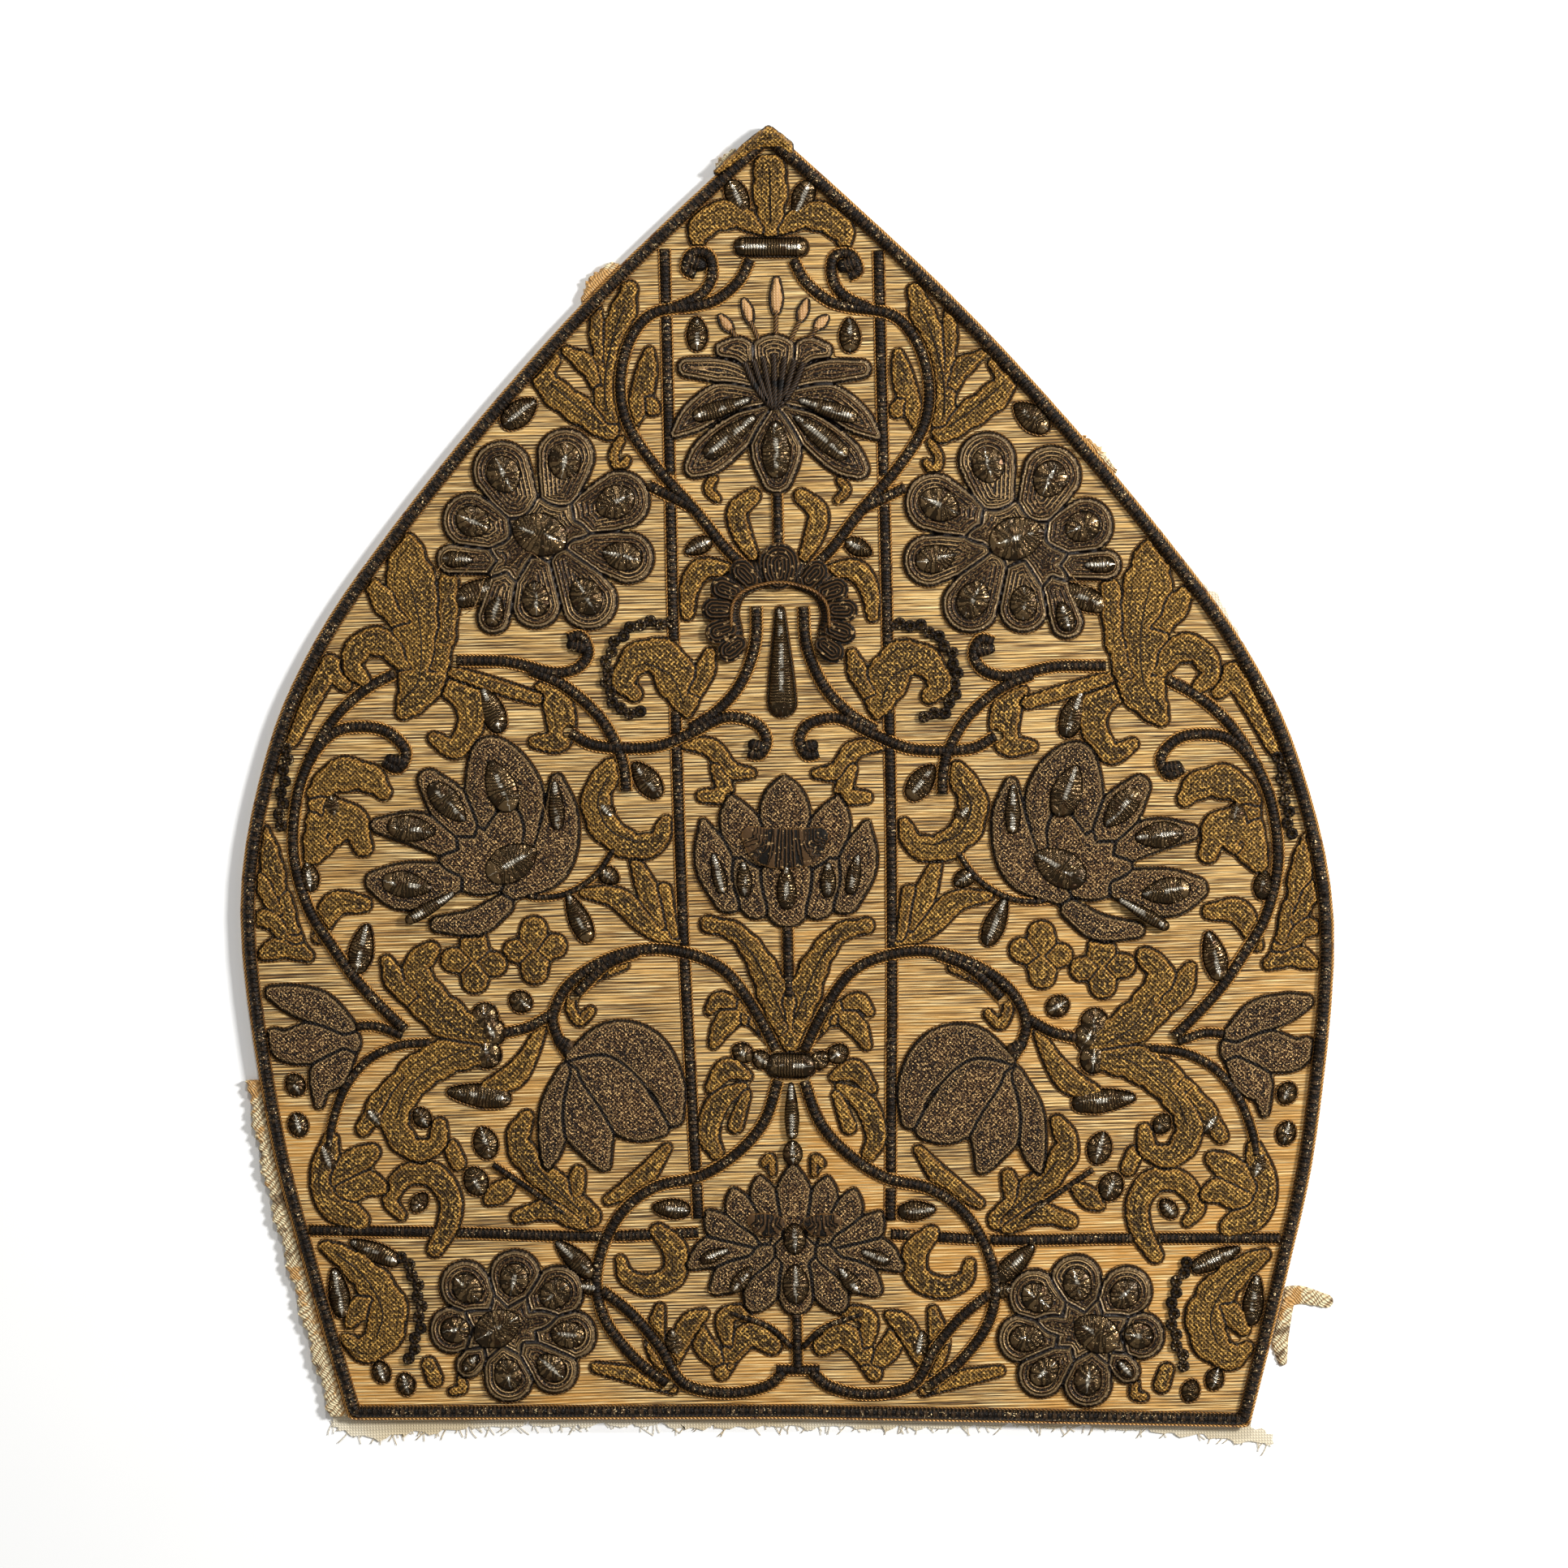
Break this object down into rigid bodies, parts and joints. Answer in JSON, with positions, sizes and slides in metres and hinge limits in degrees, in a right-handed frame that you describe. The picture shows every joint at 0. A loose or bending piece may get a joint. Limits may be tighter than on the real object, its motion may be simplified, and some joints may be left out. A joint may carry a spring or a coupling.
{
  "type": "embroidered mitre panel",
  "caption": "Flat pointed half of a mitre with couched scrolls, padded silver flowers and gold leaves on laid silver thread, cord edge, seam braid and cream lining.",
  "frame": {"origin": "middle of the back face, on the middle line at half the height", "axes": "+Z out of the embroidered face, +Y towards the tip, +X to the right as seen from above"},
  "size_m": [0.3428, 0.415, 0.0068],
  "materials": {
    "cream_lining": "plain cream silk, frayed edge",
    "silver_ground": "laid silver thread worn to gold silk",
    "dark_cord": "tarnished couched metal cord",
    "gilt_thread": "basket-couched gilt thread",
    "silver_thread": "tarnished couched silver thread",
    "seam_braid": "woven metal braid, worn to its silk"
  },
  "bodies": {
    "root": {"acanthus_left": "gilt_thread", "acanthus_right": "gilt_thread", "apex_knob": "seam_braid", "arch_stem_left": "dark_cord", "arch_stem_right": "dark_cord", "bar_left": "dark_cord", "bar_right": "dark_cord", "base_bar_left": "dark_cord", "base_bar_right": "dark_cord", "bell_flower_left": "silver_thread", "bell_flower_right": "silver_thread", "border_cord": "dark_cord", "centre_drop": "dark_cord", "chain_leaf_left": "gilt_thread", "chain_leaf_right": "gilt_thread", "circle_stem_left": "dark_cord", "circle_stem_right": "dark_cord", "collar_stem_left": "dark_cord", "collar_stem_right": "dark_cord", "corner_leaf_left": "gilt_thread", "corner_leaf_right": "gilt_thread", "crest": "gilt_thread", "crest_tie": "dark_cord", "galloon_left": "seam_braid", "galloon_scrap_right": "seam_braid", "ground_panel": "silver_ground", "knot": "dark_cord", "lily": "silver_thread", "lining": "cream_lining", "loop_leaf_left": "gilt_thread", "loop_leaf_right": "gilt_thread", "lotus_stem": "dark_cord", "lower_lotus": "silver_thread", "lower_rosette_left": "silver_thread", "lower_rosette_right": "silver_thread", "lower_stem_left": "dark_cord", "lower_stem_right": "dark_cord", "middle_lotus": "silver_thread", "outer_stem_left": "dark_cord", "outer_stem_right": "dark_cord", "peony_left": "silver_thread", "peony_right": "silver_thread", "shell_collar": "silver_thread", "side_leaf_left": "gilt_thread", "side_leaf_right": "gilt_thread", "tongue_leaf_left": "gilt_thread", "tongue_leaf_right": "gilt_thread", "top_leaf_left": "gilt_thread", "top_leaf_right": "gilt_thread", "top_stem_left": "dark_cord", "top_stem_right": "dark_cord", "trumpet_leaf_left": "gilt_thread", "trumpet_leaf_right": "gilt_thread", "tulip_leaf_left": "gilt_thread", "tulip_leaf_right": "gilt_thread", "tulip_left": "silver_thread", "tulip_right": "silver_thread", "upper_rosette_left": "silver_thread", "upper_rosette_right": "silver_thread", "vase_leaf": "gilt_thread"}
  },
  "joints": []
}
